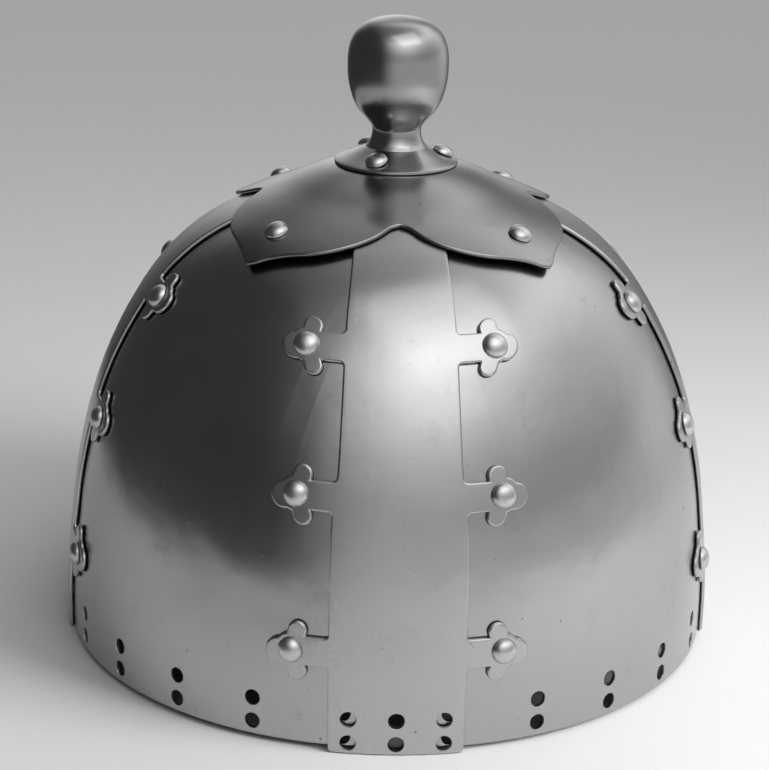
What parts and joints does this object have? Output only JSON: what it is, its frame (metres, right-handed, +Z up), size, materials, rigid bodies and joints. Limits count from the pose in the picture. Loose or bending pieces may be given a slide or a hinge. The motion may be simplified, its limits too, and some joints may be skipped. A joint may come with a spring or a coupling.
{
  "type": "helmet",
  "caption": "Domed iron helmet of four plates riveted under trefoil-tabbed bands, with a scalloped crown cap, lace holes at the rim and a turned knob finial.",
  "frame": {"origin": "middle of the rim, on the plane that the rim rests on", "axes": "+Z up through the finial, -Y out of the front band, +X to the right as seen from the front"},
  "size_m": [0.22, 0.22, 0.206],
  "materials": {
    "plate_iron": "burnished dark iron",
    "band_iron": "brushed iron",
    "cap_iron": "burnished dark iron",
    "finial_iron": "polished dark iron",
    "rivet_iron": "polished iron"
  },
  "bodies": {
    "root": {"plate_front_right": "plate_iron", "plate_back_right": "plate_iron", "plate_back_left": "plate_iron", "plate_front_left": "plate_iron", "band_front": "band_iron", "band_right": "band_iron", "band_back": "band_iron", "band_left": "band_iron", "crown_cap": "cap_iron", "finial": "finial_iron", "tab_rivet_front_left_low": "rivet_iron", "tab_rivet_front_left_mid": "rivet_iron", "tab_rivet_front_left_high": "rivet_iron", "tab_rivet_front_right_low": "rivet_iron", "tab_rivet_front_right_mid": "rivet_iron", "tab_rivet_front_right_high": "rivet_iron", "tab_rivet_right_left_low": "rivet_iron", "tab_rivet_right_left_mid": "rivet_iron", "tab_rivet_right_left_high": "rivet_iron", "tab_rivet_right_right_low": "rivet_iron", "tab_rivet_right_right_mid": "rivet_iron", "tab_rivet_right_right_high": "rivet_iron", "tab_rivet_back_left_low": "rivet_iron", "tab_rivet_back_left_mid": "rivet_iron", "tab_rivet_back_left_high": "rivet_iron", "tab_rivet_back_right_low": "rivet_iron", "tab_rivet_back_right_mid": "rivet_iron", "tab_rivet_back_right_high": "rivet_iron", "tab_rivet_left_left_low": "rivet_iron", "tab_rivet_left_left_mid": "rivet_iron", "tab_rivet_left_left_high": "rivet_iron", "tab_rivet_left_right_low": "rivet_iron", "tab_rivet_left_right_mid": "rivet_iron", "tab_rivet_left_right_high": "rivet_iron", "cap_rivet_front_right": "rivet_iron", "cap_rivet_back_right": "rivet_iron", "cap_rivet_back_left": "rivet_iron", "cap_rivet_front_left": "rivet_iron", "finial_rivet_1": "rivet_iron", "finial_rivet_2": "rivet_iron", "finial_rivet_3": "rivet_iron"}
  },
  "joints": []
}
